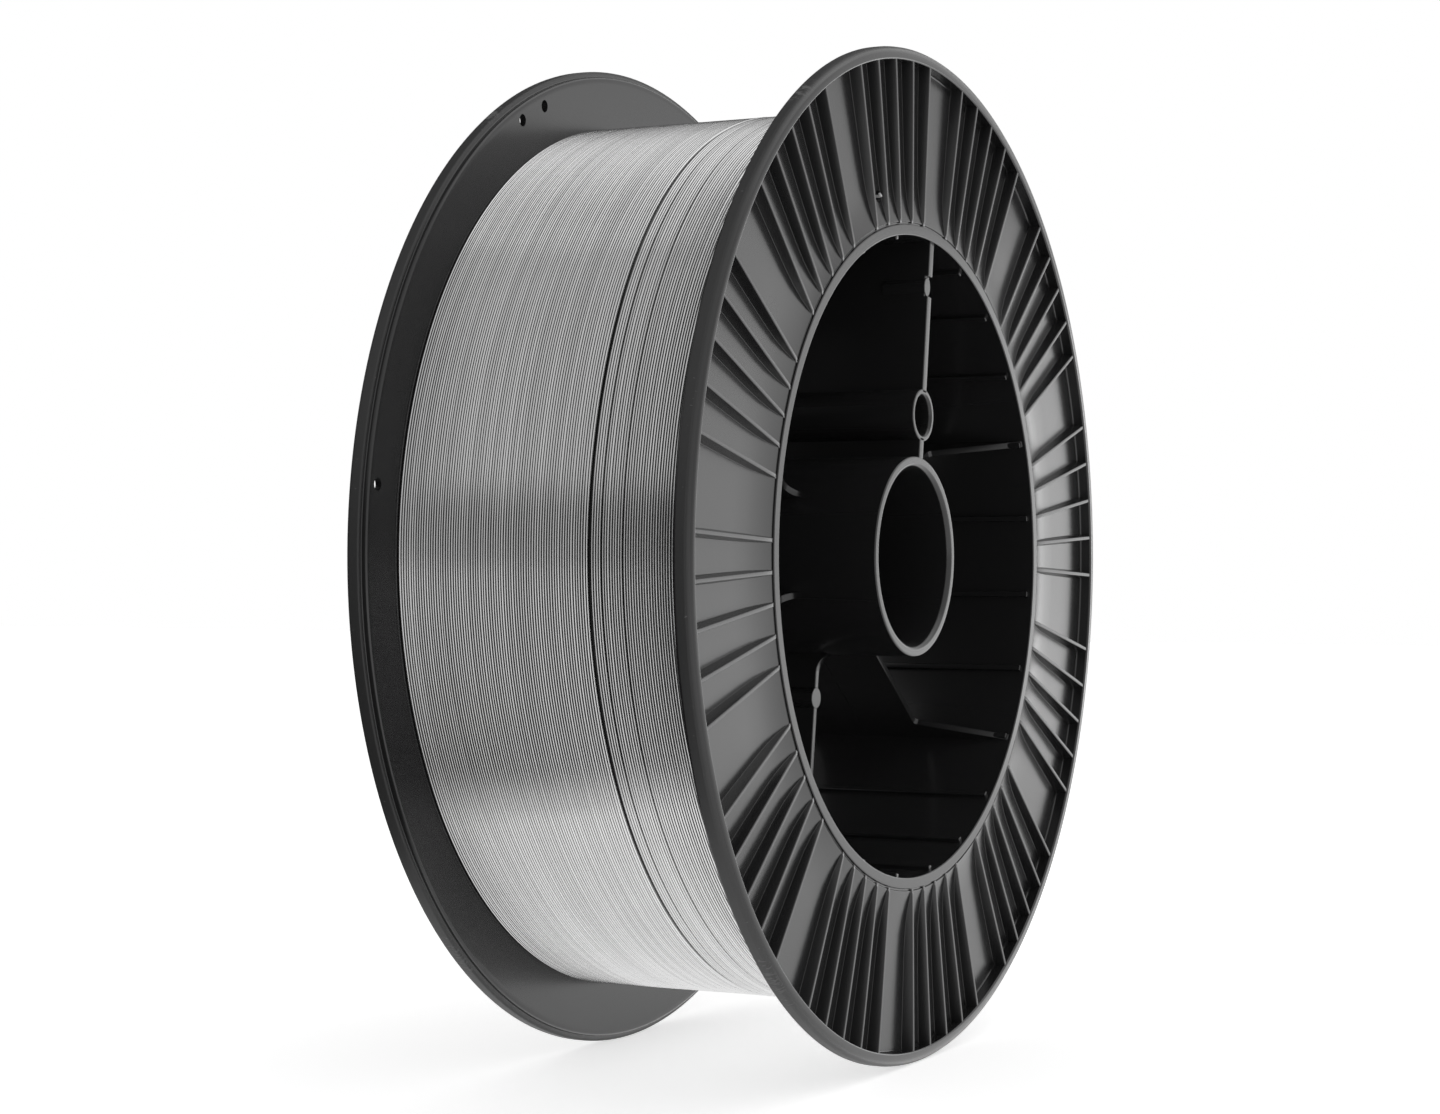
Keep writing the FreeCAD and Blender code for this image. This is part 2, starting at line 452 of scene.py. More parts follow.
hub = {
    "arborRadius": 29.5 * mm,
    "arborLead": 1.4 * mm,
    "arborLeadRounding": 0.9 * mm,
    "arborRounding": 0.45 * mm,
    "arborSegments": 128,
    "arborDrop": 2.3 * mm,
    "pinTubeRadius": 7.75 * mm,
    "pinLead": 1.0 * mm,
    "pinLeadRounding": 0.2 * mm,
    "pinRounding": 0.3 * mm,
    "pinSegments": 64,
    "spokeCount": 6,
    "spokeThickness": 2.2 * mm,
    "pinSpokeThickness": 3.0 * mm,
    "pinSpokeStep": 0.6 * mm,  # the pin web starts this far below the arbor tube's end
    "spokeTop": 19.3 * mm,
    "gussetReach": 7.5 * mm,
    "gussetDrop": 1.0 * mm,
    "gussetFillet": 1.5 * mm,
    "rootHeight": 6.0 * mm,
    "rootRounding": 5.4 * mm,
    "spokeArcSteps": 6,
    "staveCount": 24,
    "staveWidth": 1.8 * mm,
    "staveHeight": 1.2 * mm,
    "staveDrop": 1.5 * mm,
    "staveRounding": 0.35 * mm,
    "edgeRounding": 0.3 * mm,
    "sink": 1.0 * mm,  # webs, ribs and staves reach this far into what carries them
    "padRadius": 3.2 * mm,  # round marks of the mould's ejector pins
    "padPlace": 42.5 * mm,
    "padProud": 0.1 * mm,
    "padDepth": 9 * mm,
    "padRounding": 0.25 * mm,
    "pinPadNotch": 3.0 * mm,  # half the length of the pin web's notch at its pad
    "pinPadRadius": 2.91 * mm,
    "pinPadPlace": 81.0 * mm,
    "pinPadDrop": 0.85 * mm,
    "pinPadDepth": 14 * mm,
    "pinPadSquash": 0.75,  # across the web
    "notchDrop": 0.2 * mm,  # below the pad's top
}

wireHole = {
    "radius": 1.8 * mm,
    "rounding": 0.1 * mm,  # of what cuts it
    "cutTop": 1.2,  # how high and how deep that is, as shares of half the spool's width
    "cutDepth": 0.6,
    "endInset": 2.2 * mm,
    "endSpread": 2.75,  # degrees
    "startOffset": 8.7 * mm,
    "startAngle": -21.5,
}

rimInside = spool["rimRadius"] - flange["rimWall"]
hubRingTop = spool["halfWidth"] - flange["hubRingDrop"]
arborTop = spool["halfWidth"] - hub["arborDrop"]
barrelInside = flange["barrelRadius"] - flange["barrelWall"]


def webUnder(radius):
    # height of the flange's wire side above the middle of the spool
    share = (radius - flange["barrelRadius"]) / (rimInside - flange["barrelRadius"])
    depth = flange["webDepthAtHub"] + share * (flange["webDepthAtRim"] - flange["webDepthAtHub"])
    return spool["halfWidth"] - depth - flange["webThickness"]


webPlaces = [(flange["barrelRadius"], flange["webDepthAtHub"])]
webPlaces += [(flange["barrelRadius"] + away, depth) for away, depth in flange["webSteps"]]
webPlaces += [(rimInside, flange["webDepthAtRim"])]


def webTop(radius):
    # height of the flange's outer face
    for (nearRadius, nearDepth), (farRadius, farDepth) in zip(webPlaces, webPlaces[1:]):
        if radius <= farRadius:
            break
    share = min((radius - nearRadius) / (farRadius - nearRadius), 1)
    return spool["halfWidth"] - nearDepth - share * (farDepth - nearDepth)


def flangeAndBarrel():
    wide, face = spool["rimRadius"], spool["halfWidth"]
    floor = face - flange["rimWidth"]
    skirt = wide - flange["skirtStep"]
    creaseIn = flange["barrelRadius"] - flange["creaseWidth"] / 2
    creaseOut = flange["barrelRadius"] + flange["creaseWidth"] / 2
    creaseFloor = hubRingTop - flange["creaseDepth"]
    outline = roundedOutline([
        (barrelInside, 0, 0),
        (barrelInside, hubRingTop, flange["hubRingRounding"]),
        (creaseIn, hubRingTop, flange["creaseRounding"]),
        (creaseIn, creaseFloor, flange["creaseFillet"]),
        (creaseOut, creaseFloor, flange["creaseFillet"]),
        (creaseOut, webTop(creaseOut), flange["creaseFillet"]),
        *[(radius, webTop(radius), 0) for radius, _ in webPlaces[1:-1]],
        (rimInside, webTop(rimInside), flange["webFillet"]),
        (rimInside, face, flange["rimInnerRounding"]),
        (wide, face, flange["rimRounding"]),
        (wide, floor, flange["rimBackRounding"]),
        (skirt, floor, flange["skirtFillet"]),
        (skirt, webUnder(skirt), flange["skirtRounding"]),
        (flange["barrelRadius"], webUnder(flange["barrelRadius"]), flange["barrelFillet"]),
        (flange["barrelRadius"], 0, 0),
    ], flange["arcSteps"])
    return turnedMesh("flange", outline, flange["segments"])


def holeCutter(radius, degrees):
    top, depth = [spool["halfWidth"] * wireHole[share] for share in ("cutTop", "cutDepth")]
    return turnedAbout(padMesh("hole", wireHole["radius"], radius, top, depth, wireHole["rounding"]), degrees)


def arborTube():
    inside, outside = spool["boreRadius"], hub["arborRadius"]
    outline = roundedOutline([
        (inside, 0, 0),
        (inside, arborTop - hub["arborLead"], 0),
        (inside + hub["arborLead"], arborTop, hub["arborLeadRounding"]),
        (outside, arborTop, hub["arborRounding"]),
        (outside, 0, 0),
    ], flange["arcSteps"])
    return turnedMesh("arbor", outline, hub["arborSegments"])


def pinTube():
    inside, outside = spool["pinHoleRadius"], hub["pinTubeRadius"]
    outline = roundedOutline([
        (inside, 0, 0),
        (inside, arborTop - hub["pinLead"], 0),
        (inside + hub["pinLead"], arborTop, hub["pinLeadRounding"]),
        (outside, arborTop, hub["pinRounding"]),
        (outside, 0, 0),
    ], flange["arcSteps"])
    return turnedMesh("pinTube", outline, hub["pinSegments"], spool["pinRadius"])


def plainSpoke():
    # deep below the face, with a gusset up the barrel and a rounded root at the arbor tube
    inner, outer = hub["arborRadius"] - hub["sink"], barrelInside + hub["sink"]
    rootTop = hub["spokeTop"] + hub["rootHeight"]
    gussetTop = hubRingTop - hub["gussetDrop"]
    outline = roundedOutline([
        (inner, 0, 0),
        (inner, rootTop, 0),
        (hub["arborRadius"], rootTop, 0),
        (hub["arborRadius"], hub["spokeTop"], hub["rootRounding"]),
        (barrelInside - hub["gussetReach"], hub["spokeTop"], hub["gussetFillet"]),
        (barrelInside, gussetTop, 0),
        (outer, gussetTop, 0),
        (outer, 0, 0),
    ], hub["spokeArcSteps"])
    return plateMesh("spoke", outline, hub["spokeThickness"], hub["edgeRounding"])


def pinSpoke():
    # up to the face, in two parts so that the pin hole stays open, with a notch at the ejector pad
    wall = (spool["pinHoleRadius"] + hub["pinTubeRadius"]) / 2
    tubeIn, tubeOut = spool["pinRadius"] - wall, spool["pinRadius"] + wall
    notchIn, notchOut = hub["pinPadPlace"] - hub["pinPadNotch"], hub["pinPadPlace"] + hub["pinPadNotch"]
    low = arborTop - hub["pinPadDrop"] - hub["notchDrop"]
    start, end = hub["arborRadius"] - hub["sink"], barrelInside + hub["sink"]
    inner = [(start, 0), (start, arborTop - hub["pinSpokeStep"]), (hub["arborRadius"], arborTop),
             (tubeIn, arborTop), (tubeIn, 0)]
    outer = [(tubeOut, 0), (tubeOut, arborTop), (notchIn, arborTop), (notchIn, low), (notchOut, low),
             (notchOut, arborTop), (end, arborTop), (end, 0)]
    return [plateMesh("pinSpoke", outline, hub["pinSpokeThickness"], hub["edgeRounding"])
            for outline in (inner, outer)]


def ribMesh():
    # one wedge rib straight up: rounded crest, small fillets at its root
    start, end = flange["barrelRadius"], rimInside + hub["sink"]
    crestFrom = start + rib["slope"]
    places = [start, start + rib["slope"] / 2, crestFrom]
    places += [crestFrom + (end - crestFrom) * (k + 1) / rib["stations"] for k in range(rib["stations"])]
    crestStart, crestEnd = hubRingTop, spool["halfWidth"] - rib["crestDrop"]
    work = bmesh.new()
    sections = []
    for place in places:
        base = webTop(place)
        if place < crestFrom:
            crest = base + (place - start) / rib["slope"] * (crestStart - base) + rib["startHeight"]
        else:
            share = (place - crestFrom) / (rimInside - crestFrom)
            crest = crestStart + min(share, 1) * (crestEnd - crestStart)
        height = crest - base
        fillet = min(rib["rootFillet"], height * rib["roundingShare"])
        rounding = min(rib["crestRounding"], height * rib["roundingShare"])
        footPull, topPull = fillet * rib["cornerPull"], rounding * rib["cornerPull"]
        top = rib["crestWidth"] / 2
        foot = top + (rib["footWidth"] / 2 - top) * min(height / rib["draftHeight"], 1)
        half = [(foot + fillet, base - hub["sink"]), (foot + fillet, base),
                (foot + footPull, base + footPull), (foot, base + fillet),
                (top, crest - rounding), (top - topPull, crest - topPull), (top - rounding, crest)]
        ring = half + [(-x, z) for x, z in reversed(half)]
        sections.append([work.verts.new((x, place, z)) for x, z in ring])
    for near, far in zip(sections, sections[1:]):
        for k in range(len(near)):
            work.faces.new((near[k - 1], near[k], far[k], far[k - 1]))
    work.faces.new(sections[0])
    work.faces.new(list(reversed(sections[-1])))
    return meshFrom("rib", work)


def staveMesh():
    edge, foot = barrelInside - hub["staveHeight"], barrelInside + hub["sink"]
    top = hubRingTop - hub["staveDrop"]
    outline = [(edge, 0), (edge, top), (foot, top), (foot, 0)]
    return plateMesh("stave", outline, hub["staveWidth"], hub["staveRounding"])


def ringOf(mesh, groups, perGroup, start, pitch, material):
    # copies of a mesh round the spool's axis
    return runTree(ringArray, {"Groups": groups, "Per Group": perGroup, "Group Start": start, "Pitch": pitch,
                               "Material": material}, mesh)


def spoolHalf(name, node, material, ribTurn, holes, place):
    shell = cut(flangeAndBarrel(), [holeCutter(radius, degrees) for radius, degrees in holes])
    ribs = ringOf(ribMesh(), rib["groups"], rib["perGroup"], ribTurn + rib["pitch"], rib["pitch"], material)
    staves = ringOf(staveMesh(), hub["staveCount"], 1, 0.0, 0.0, material)
    pad = padMesh("pad", hub["padRadius"], hub["padPlace"], hub["spokeTop"] + hub["padProud"],
                  hub["padDepth"], hub["padRounding"])
    spokeTurn = fullTurn / hub["spokeCount"]
    spokes = ringOf(joined("spokeAndPad", [plainSpoke(), pad]), 1, hub["spokeCount"] - 1,
                    spokeTurn, spokeTurn, material)
    pinPad = padMesh("pinPad", hub["pinPadRadius"], hub["pinPadPlace"], arborTop - hub["pinPadDrop"],
                     hub["pinPadDepth"], hub["padRounding"])
    pinPad.transform(Matrix.Scale(hub["pinPadSquash"], 4, (1, 0, 0)))
    mesh = joined(name, [shell, ribs, staves, spokes, pinPad, arborTube(), pinTube()] + pinSpoke(), place)
    piece = finishedPiece(name, mesh, material)
    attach(piece, "root")
    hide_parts(node)
    print(name, "made, faces", len(mesh.polygons))


black = blackPlastic()
ringArray = ringArrayTree()
standing = Matrix.Rotation(spool["standingTurn"], 4, "Y")
frontPlace = standing @ Matrix(((1, 0, 0, 0), (0, 0, -1, 0), (0, 1, 0, 0), (0, 0, 0, 1)))
backPlace = standing @ Matrix(((-1, 0, 0, 0), (0, 0, 1, 0), (0, 1, 0, 0), (0, 0, 0, 1)))

groupDegrees = 360 / rib["groups"]
backDegrees = math.degrees(rib["backTurn"])
endRadius = rimInside - wireHole["endInset"]
startHole = [(flange["barrelRadius"] + wireHole["startOffset"], wireHole["startAngle"])]
endHoles = [(endRadius, backDegrees + groupDegrees - wireHole["endSpread"]),
            (endRadius, backDegrees + groupDegrees + wireHole["endSpread"]),
            (endRadius, backDegrees + 3 * groupDegrees - wireHole["endSpread"])]
spoolHalf("front_half", "front_spool_half", black, 0.0, startHole, frontPlace)
spoolHalf("back_half", "back_spool_half", black, rib["backTurn"], endHoles, backPlace)

winding = {
    "gap": 0.1 * mm,  # to the plastic around it
    "turns": 117,
    "segments": 192,
    "sideDepth": 0.12 * mm,
    "valleyDepth": 0.42 * mm,
    "backSpread": 0.35,  # the rows of a turn's round back are this share of the pitch apart
    "grooveTurn": 75,  # a wider gap between two turns, nearer the front flange
    "grooveGap": 0.75 * mm,
    "grooveDepth": 1.1 * mm,
    "grooveEdge": 0.08 * mm,  # the turn before the groove stands this much higher
    "looseTurns": (79, 87),  # smaller gaps between the groove and the front flange
    "looseGap": 0.12 * mm,
    "looseDepth": 0.3,  # share of the groove's extra depth
    "crossing": (25.0, 60.0),  # degrees round the winding in which a turn steps over to the next
    "wander": 2.6 * mm,  # how far the turns stray sideways on the hidden side
    "wanderStart": (280.0, 335.0),
    "wanderEnd": (20.0, 80.0),
    "turnJitter": 0.10,  # of the pitch
    "heightJitter": 0.04 * mm,
    "laySeed": (0.83, 11.3),  # how the uneven lay goes from turn to turn, and where it starts
    "riseSeed": (0.71, 57.1),
    "toneSeed": (0.9, 3.0),  # how fast the wire's tone changes, from turn to turn and round a turn
    "backShade": 0.8,  # painted shade on a turn's side towards the back flange, next to 1 in the gaps
    "frontShade": 0.42,  # and on its side towards the front flange
    "frontShadeLess": 0.3,  # that side gets this much less painted shade at the turn before the groove
}

wireEnd = {
    "radius": 0.4 * mm,
    "rise": 1.0 * mm,  # above the web
    "straight": 0.8 * mm,  # the bend starts this far below the top
    "bend": 0.3 * mm,
    "reach": 1.7 * mm,  # of its bent tip
    "tipRise": 0.15 * mm,
    "tipTurn": math.radians(-60),
    "footDepth": 1 * mm,  # it starts this far behind the web
}

steel = {
    "dark": grey(0.58),
    "bright": grey(0.78),
    # painted shade: the gaps between turns and the turns' sides are darkened towards this colour
    "betweenTurns": grey(0.01),
    "gapShare": 0.95,  # how much of that painted shade a gap takes
    "lightInGaps": 0.4,  # the painted shade in the gaps is this much weaker at the top and the bottom
    "lightFrom": (50 * mm, 115 * mm),  # above or below the spool's centre
    "toneFrom": (0.3, 0.7),
    "toneShare": 0.6,  # the wire's own tone against the stains
    "stainSize": 14 * mm,
    "roughness": 0.16,
    "roughnessSpread": 0.12,
}


def windingTree():
    nodes, group = geometryTree("level_winding", {
        "Turns": "Int", "Segments": "Int", "Radius": "Float", "Half Length": "Float",
        "Inner Radius": "Float", "Inner Half Length": "Float", "Side Depth": "Float", "Valley Depth": "Float",
        "Groove Turn": "Float", "Groove Gap": "Float", "Groove Depth": "Float", "Loose Gap": "Float",
        "Wander": "Float", "Turn Jitter": "Float", "Height Jitter": "Float", "Material": "Material"})
    bodyRows = group["Turns"] * 4 + 5
    grid = nodes.node("GeometryNodeMeshGrid", {}, {
        "Size X": 1.0, "Size Y": 1.0, "Vertices X": group["Segments"] + 1, "Vertices Y": bodyRows + 3})
    flat = nodes.node("ShaderNodeSeparateXYZ", {}, {0: nodes.node("GeometryNodeInputPosition")})
    around = flat["X"] + 0.5
    row = nodes.math("ROUND", (flat["Y"] + 0.5) * (bodyRows + 2))
    degrees = around * 360
    crossed = nodes.ease(degrees, *winding["crossing"])  # on the hidden side
    bodyRow = row - 1
    part = bodyRow % 4  # 0 is the valley before a turn, 2 its crest
    turn = nodes.math("FLOOR", bodyRow / 4) - 1 + crossed
    # a turn is four rows: the valley before it and three on its round back
    across = nodes.math("MAXIMUM", 0.5 + (part - 2) * winding["backSpread"], 0.0)
    inValley = part < 0.5
    depth = abs(part - 2) * group["Side Depth"] + inValley * (group["Valley Depth"] - 2 * group["Side Depth"])
    # uneven lay
    lay, rise = [nodes.noise("1D", {"W": turn * step + start, "Scale": 1.0, "Detail": 1.0})
                 for step, start in (winding["laySeed"], winding["riseSeed"])]
    pitch = 2 * group["Half Length"] / group["Turns"]
    atGroove = 1 - nodes.clamped(abs(turn - group["Groove Turn"]))
    beforeGroove = 1 - nodes.clamped(abs(turn - group["Groove Turn"] + 1))
    pastGroove = nodes.clamped(turn - group["Groove Turn"] + 1 - inValley) - turn / group["Turns"]
    axial = (turn + across + (lay - 0.5) * group["Turn Jitter"] * 4) * pitch - group["Half Length"]
    axial = axial + pastGroove * group["Groove Gap"]
    atLoose = 0.0
    for loose in winding["looseTurns"]:
        pastLoose = nodes.clamped(turn - (loose - 1) - inValley) - turn / group["Turns"]
        axial = axial + pastLoose * group["Loose Gap"]
        atLoose = atLoose + (1 - nodes.clamped(abs(turn - loose)))
    share = axial / group["Half Length"]
    wandering = nodes.math("MAXIMUM", nodes.ease(degrees, *winding["wanderStart"]),
                           1 - nodes.ease(degrees, *winding["wanderEnd"]))
    axial = axial - group["Wander"] * wandering * nodes.math("MAXIMUM", 1 - share * share, 0.0)
    # a gap has a flat floor, from its valley row to the first row of the next turn
    inGap = (atGroove + atLoose) * (abs(part - 1) < 0.5)
    depth = depth * (1 - inGap) + inGap * group["Valley Depth"]
    low = nodes.math("MAXIMUM", inValley, inGap)
    deeper = group["Groove Depth"] - group["Valley Depth"]
    depth = depth + low * (atGroove + winding["looseDepth"] * atLoose) * deeper
    depth = depth + (1 - inValley) * (rise - 0.5) * group["Height Jitter"] * 2 + group["Height Jitter"]
    depth = depth - (1 - inValley) * beforeGroove * winding["grooveEdge"]
    beyond = abs(axial) > group["Half Length"]
    axial = nodes.math("MINIMUM", axial, group["Half Length"])
    axial = nodes.math("MAXIMUM", axial, -1 * group["Half Length"])
    radius = group["Radius"] - (depth * (1 - beyond) + group["Valley Depth"] * beyond)
    # the ends and the bore close the solid
    lowInner = (row < 0.5) + (row > bodyRows + 1.5)
    highInner = 1 - nodes.clamped(abs(row - bodyRows - 1))
    inner = lowInner + highInner
    radius = radius * (1 - inner) + group["Inner Radius"] * inner
    axial = axial * (1 - inner) + group["Inner Half Length"] * (highInner - lowInner)
    angle = around * fullTurn
    place = nodes.node("ShaderNodeCombineXYZ", {}, {
        "X": radius * nodes.math("SINE", angle), "Y": -1 * axial, "Z": radius * nodes.math("COSINE", angle)})
    # what the steel's material reads: how much painted shade a point gets between turns and on the turns'
    # sides, and the wire's own tone
    frontShade = winding["frontShade"] - winding["frontShadeLess"] * beforeGroove
    sides = (part < 1.5) * winding["backShade"] + (part > 2.5) * frontShade
    toneStep, toneRun = winding["toneSeed"]
    tonePlace = nodes.node("ShaderNodeCombineXYZ", {}, {"X": turn * toneStep, "Y": around * toneRun})
    tone = nodes.noise("2D", {"Vector": tonePlace, "Scale": 1.0, "Detail": 2.0})
    kept = grid["Mesh"]
    # the valley attribute carries the painted shade; where it is near 1 it also marks the sharp edges
    for label, value in (("valley", low + (1 - inValley) * (1 - inGap) * sides), ("turnTone", tone)):
        kept = nodes.node("GeometryNodeStoreNamedAttribute", {"data_type": "FLOAT", "domain": "POINT"}, {
            "Geometry": kept, "Name": label, "Value": value})
    wound = nodes.node("GeometryNodeSetPosition", {}, {"Geometry": kept, "Position": place})
    closed = nodes.node("GeometryNodeMergeByDistance", {}, {"Geometry": wound, "Distance": weldWithin})
    onValley = nodes.node("GeometryNodeInputNamedAttribute", {"data_type": "FLOAT"}, {"Name": "valley"})
    rounded = nodes.node("GeometryNodeSetShadeSmooth", {"domain": "FACE"}, {
        "Geometry": closed, "Shade Smooth": True})
    shaded = nodes.node("GeometryNodeSetShadeSmooth", {"domain": "EDGE"}, {
        "Geometry": rounded, "Shade Smooth": onValley < 0.9})
    solid = nodes.node("GeometryNodeRealizeInstances", {}, {"Geometry": shaded})
    dressed = nodes.node("GeometryNodeSetMaterial", {}, {"Geometry": solid, "Material": group["Material"]})
    nodes.node("NodeGroupOutput", {}, {"Geometry": dressed})
    return nodes


def steelWire():
    material, nodes = newMaterial("steel_wire_bright")
    tone = nodes.node("ShaderNodeAttribute", {"attribute_name": "turnTone"})["Fac"]
    # valley: how much painted shade a point gets, in the gaps between turns and on the turns' sides
    valley = nodes.node("ShaderNodeAttribute", {"attribute_name": "valley"})["Fac"]
    place = nodes.node("ShaderNodeTexCoord")["Object"]
    upDown = abs(nodes.node("ShaderNodeSeparateXYZ", {}, {0: place})["Z"])
    valley = valley * (1 - steel["lightInGaps"] * nodes.ease(upDown, *steel["lightFrom"]))
    stain = nodes.noise("3D", {"Vector": place, "Scale": 1 / steel["stainSize"], "Detail": 3.0})
    bright = nodes.ease(tone, *steel["toneFrom"]) * steel["toneShare"] + stain * (1 - steel["toneShare"])
    color = nodes.mixColor(nodes.clamped(bright), steel["dark"], steel["bright"])
    # the painted shade darkens the wire's colour in the gaps and on the turns' sides
    color = nodes.mixColor(valley * steel["gapShare"], color, steel["betweenTurns"])
    shader = nodes.node("ShaderNodeBsdfPrincipled", {}, {
        "Base Color": color, "Metallic": 1.0,
        "Roughness": steel["roughness"] + steel["roughnessSpread"] * (stain - 0.5)})
    nodes.node("ShaderNodeOutputMaterial", {}, {"Surface": shader})
    return material


def wireEndMesh():
    # the wire's first end comes out through the front flange's start hole and is bent over
    radius, degrees = startHole[0]
    top = webTop(radius) + wireEnd["rise"]
    tip = Vector((math.sin(wireEnd["tipTurn"]), math.cos(wireEnd["tipTurn"]), 0))
    points = [Vector((0, radius, webUnder(radius) - wireEnd["footDepth"])),
              Vector((0, radius, top - wireEnd["straight"])),
              Vector((0, radius, top)) + tip * wireEnd["bend"],
              Vector((0, radius, top + wireEnd["tipRise"])) + tip * wireEnd["reach"]]
    curve = bpy.data.curves.new("wireEnd", "CURVE")
    curve.dimensions = "3D"
    curve.bevel_depth = wireEnd["radius"]
    curve.bevel_resolution = 3
    curve.use_fill_caps = True
    spline = curve.splines.new("POLY")
    spline.points.add(len(points) - 1)
    for point, place in zip(spline.points, points):
        point.co = (*place, 1)
    holder = bpy.data.objects.new("wireEnd", curve)
    scene.collection.objects.link(holder)
    work = bmesh.new()
    work.from_mesh(plainMesh(holder))
    bpy.data.objects.remove(holder)
    mesh = turnedAbout(meshFrom("wireEnd", work), degrees)
    mesh.transform(frontPlace)
    mesh.shade_smooth()
    return mesh


def windingPiece(material):
    innerRadius = flange["barrelRadius"] + winding["gap"]
    mesh = runTree(windingTree(), {
        "Turns": winding["turns"], "Segments": winding["segments"], "Radius": windingRadius,
        "Half Length": webUnder(windingRadius) - winding["gap"],
        "Inner Radius": innerRadius, "Inner Half Length": webUnder(innerRadius) - winding["gap"],
        "Side Depth": winding["sideDepth"], "Valley Depth": winding["valleyDepth"],
        "Groove Turn": float(winding["grooveTurn"]), "Groove Gap": winding["grooveGap"],
        "Groove Depth": winding["grooveDepth"], "Loose Gap": winding["looseGap"],
        "Wander": winding["wander"], "Turn Jitter": winding["turnJitter"],
        "Height Jitter": winding["heightJitter"], "Material": material})
    mesh.name = "winding"
    work = bmesh.new()
    work.from_mesh(mesh)
    work.from_mesh(wireEndMesh())
    bmesh.ops.recalc_face_normals(work, faces=work.faces)
    work.to_mesh(mesh)
    work.free()
    piece = bpy.data.objects.new("winding", mesh)
    scene.collection.objects.link(piece)
    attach(piece, "root")
    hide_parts("wire_winding")
    print("winding made, faces", len(mesh.polygons))


windingPiece(steelWire())

studio = {
    "floorSize": 8.0,
    "floorGlow": 0.6,  # only in what the camera sees, low enough to keep the spool's shadow
    "floorMirrored": 0.88,  # only in what reflections see
    "floorTone": 0.9,
    # cloths round the spool that only reflections see, as (from, to, tone below, tone above),
    # in degrees from +X towards +Y
    "cloths": ((14, 122, 0.012, 0.15), (122, 184, 0.05, 0.72)),
    "clothRadius": 1.8,
    "clothLift": 2 * mm,  # above the floor
    "clothSteps": (48, 12),  # round and up
    "clothRise": (0.28, 0.62),  # the tone changes between these heights above the spool's centre
    "matRadius": (0.15, 0.192),  # on the floor the cloths come in between these radii
    "ambient": 0.55,
    "sideLight": {"place": (1.35, -0.35, -0.02), "size": (0.5, 0.5), "power": 1.1},
    "webLight": {"place": (0.9, -0.85, 0.0), "size": (0.7, 0.7), "power": 1.0},
    "topLight": {"place": (0.5, -0.6, 1.4), "size": (1.2, 1.2), "power": 2.5},
}


def seenDirectly(nodes):
    # 1 for the camera and for reflections, 0 for the light that reaches dull surfaces
    ray = nodes.node("ShaderNodeLightPath")
    return nodes.clamped(ray["Is Camera Ray"] + ray["Is Glossy Ray"] + ray["Is Transmission Ray"])


def stagePiece(name, corners, faces):
    mesh = bpy.data.meshes.new(name)
    mesh.from_pydata(corners, [], faces)
    material, nodes = newMaterial(name + "_finish")
    mesh.materials.append(material)
    piece = bpy.data.objects.new(name, mesh)
    scene.collection.objects.link(piece)
    return piece, nodes


def floorPiece():
    size, level = studio["floorSize"] / 2, -spool["rimRadius"]
    corners = [(-size, -size, level), (size, -size, level), (size, size, level), (-size, size, level)]
    _, nodes = stagePiece("floor", corners, [(0, 1, 2, 3)])
    glow = nodes.mixColor(nodes.node("ShaderNodeLightPath")["Is Glossy Ray"],
                          grey(studio["floorGlow"]), grey(studio["floorMirrored"]))
    glow = nodes.mixColor(seenDirectly(nodes), grey(0), glow)
    shader = nodes.node("ShaderNodeBsdfPrincipled", {}, {
        "Base Color": grey(studio["floorTone"]), "Roughness": 0.9, "Specular IOR Level": 0.1,
        "Emission Color": glow, "Emission Strength": 1.0})
    nodes.node("ShaderNodeOutputMaterial", {}, {"Surface": shader})


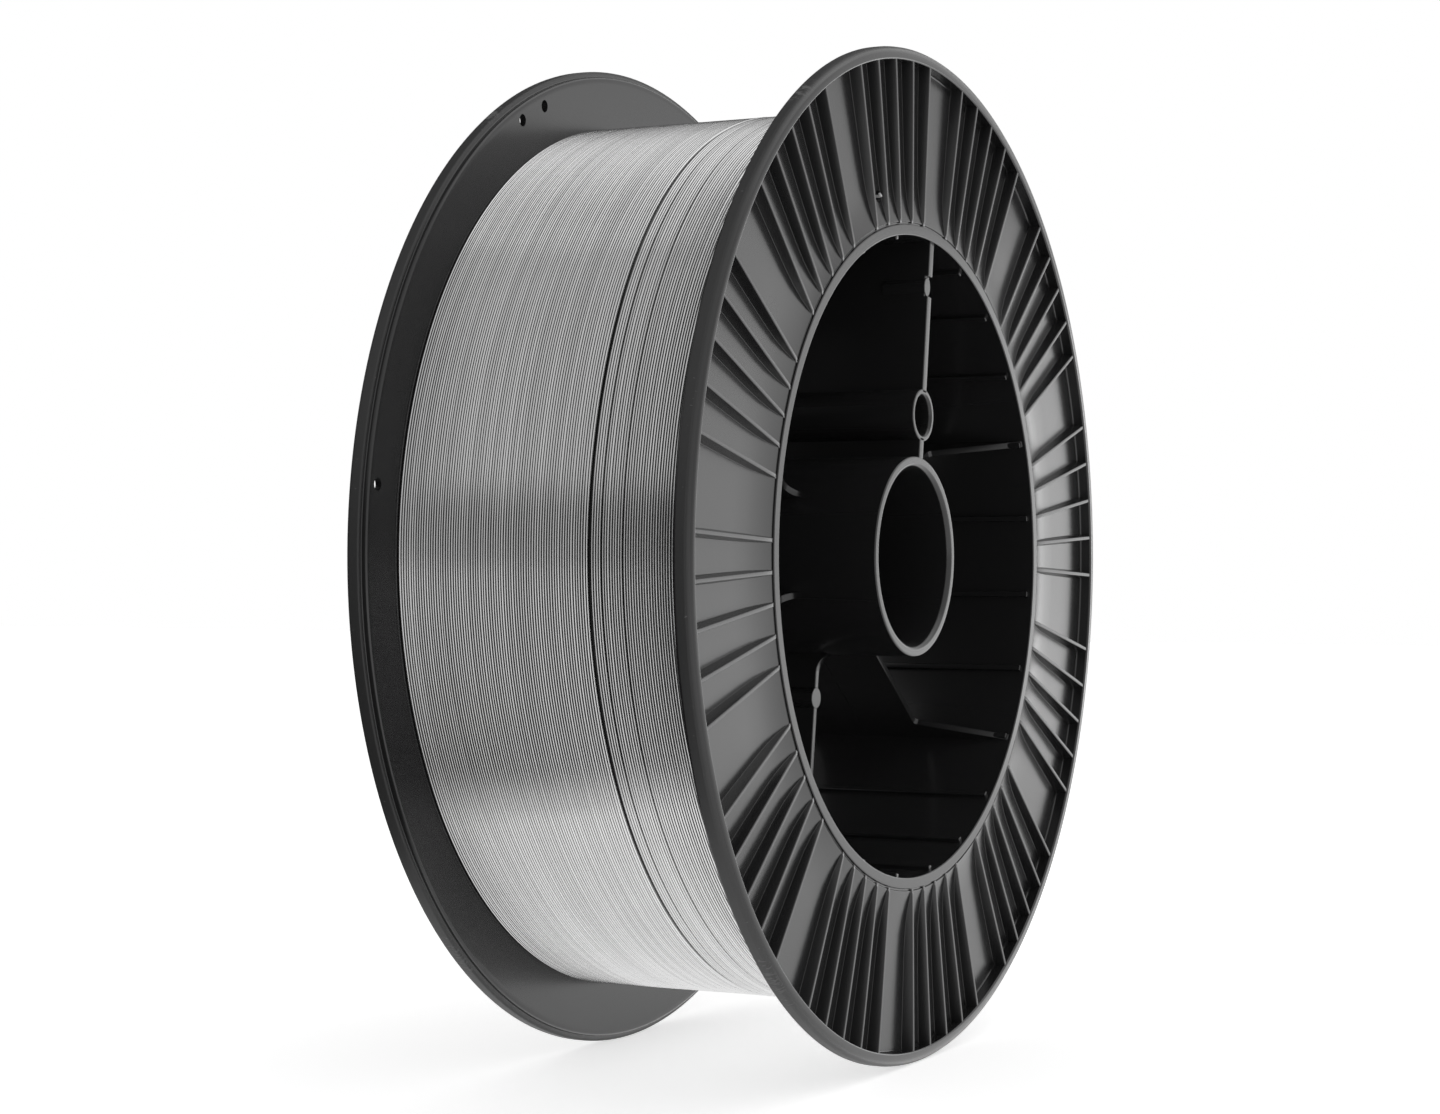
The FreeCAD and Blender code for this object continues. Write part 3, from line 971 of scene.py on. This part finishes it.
def turnedCloth(name, firstAngle, lastAngle, lowTone, highTone):
    # over the floor, up as a wall and on as a dome, about the vertical through the spool's centre
    reach, height = studio["clothRadius"], studio["clothRise"][0]
    level = studio["clothLift"] - spool["rimRadius"]
    roundSteps, upSteps = studio["clothSteps"]
    outline = [(studio["matRadius"][0], level), (reach, level)]
    outline += [(reach * math.cos(rise), height + reach * math.sin(rise))
                for rise in (fullTurn / 4 * step / upSteps for step in range(upSteps + 1))]
    corners, faces = [], []
    for step in range(roundSteps + 1):
        angle = math.radians(firstAngle + (lastAngle - firstAngle) * step / roundSteps)
        corners += [(r * math.cos(angle), r * math.sin(angle), h) for r, h in outline]
        if step:
            near, far = len(outline) * (step - 1), len(outline) * step
            faces += [(near + k, near + k + 1, far + k + 1, far + k) for k in range(len(outline) - 1)]
    cloth, nodes = stagePiece(name, corners, faces)
    place = nodes.node("ShaderNodeSeparateXYZ", {}, {0: nodes.node("ShaderNodeTexCoord")["Object"]})
    away = (place["X"] ** 2 + place["Y"] ** 2) ** 0.5
    onFloor = grey(studio["floorMirrored"])
    color = nodes.mixColor(nodes.ease(away, *studio["matRadius"]), onFloor, grey(lowTone))
    color = nodes.mixColor(nodes.ease(place["Z"], *studio["clothRise"]), color, grey(highTone))
    shader = nodes.node("ShaderNodeEmission", {}, {"Color": color, "Strength": 1.0})
    nodes.node("ShaderNodeOutputMaterial", {}, {"Surface": shader})
    cloth.visible_camera = cloth.visible_diffuse = cloth.visible_shadow = False
    cloth.visible_transmission = cloth.visible_volume_scatter = False


def softLight(name, facts):
    data = bpy.data.lights.new(name, "AREA")
    data.shape = "RECTANGLE"
    data.size, data.size_y = facts["size"]
    data.energy = facts["power"]  # watts
    lamp = bpy.data.objects.new(name, data)
    lamp.location = facts["place"]
    lamp.rotation_euler = (-Vector(facts["place"])).to_track_quat("-Z", "Y").to_euler()
    scene.collection.objects.link(lamp)


def studioWorld():
    world = bpy.data.worlds.new("studio")
    scene.world = world
    world.use_nodes = True
    world.node_tree.nodes.clear()
    nodes = Nodes(world.node_tree)
    sky = nodes.node("ShaderNodeBackground", {}, {
        "Color": nodes.mixColor(seenDirectly(nodes), grey(studio["ambient"]), grey(1)), "Strength": 1.0})
    nodes.node("ShaderNodeOutputWorld", {}, {"Surface": sky})


camera = {
    "lens": 72.2,
    "distance": 873.2 * mm,
    "turn": 62.94,  # between the view and the spool's axis
    "aside": 13.96 * mm,  # the spool's centre stands this far right of the view's axis
    "drop": 0.17 * mm,
    "clip": (0.01, 50),
}


def addCamera():
    turn = math.radians(camera["turn"])
    ahead = Vector((math.sin(turn), math.cos(turn), 0))
    right = Vector((ahead.y, -ahead.x, 0))
    data = bpy.data.cameras.new("camera")
    data.lens = camera["lens"]
    data.clip_start, data.clip_end = camera["clip"]
    view = bpy.data.objects.new("camera", data)
    view.location = -ahead * camera["distance"] - right * camera["aside"] - Vector((0, 0, camera["drop"]))
    view.rotation_euler = ahead.to_track_quat("-Z", "Y").to_euler()
    scene.collection.objects.link(view)
    scene.camera = view


floorPiece()
for index, facts in enumerate(studio["cloths"]):
    turnedCloth(f"cloth{index}", *facts)
studioWorld()
for lightName in ("sideLight", "webLight", "topLight"):
    softLight(lightName, studio[lightName])
addCamera()
scene.view_settings.view_transform = "Standard"
print("studio set")
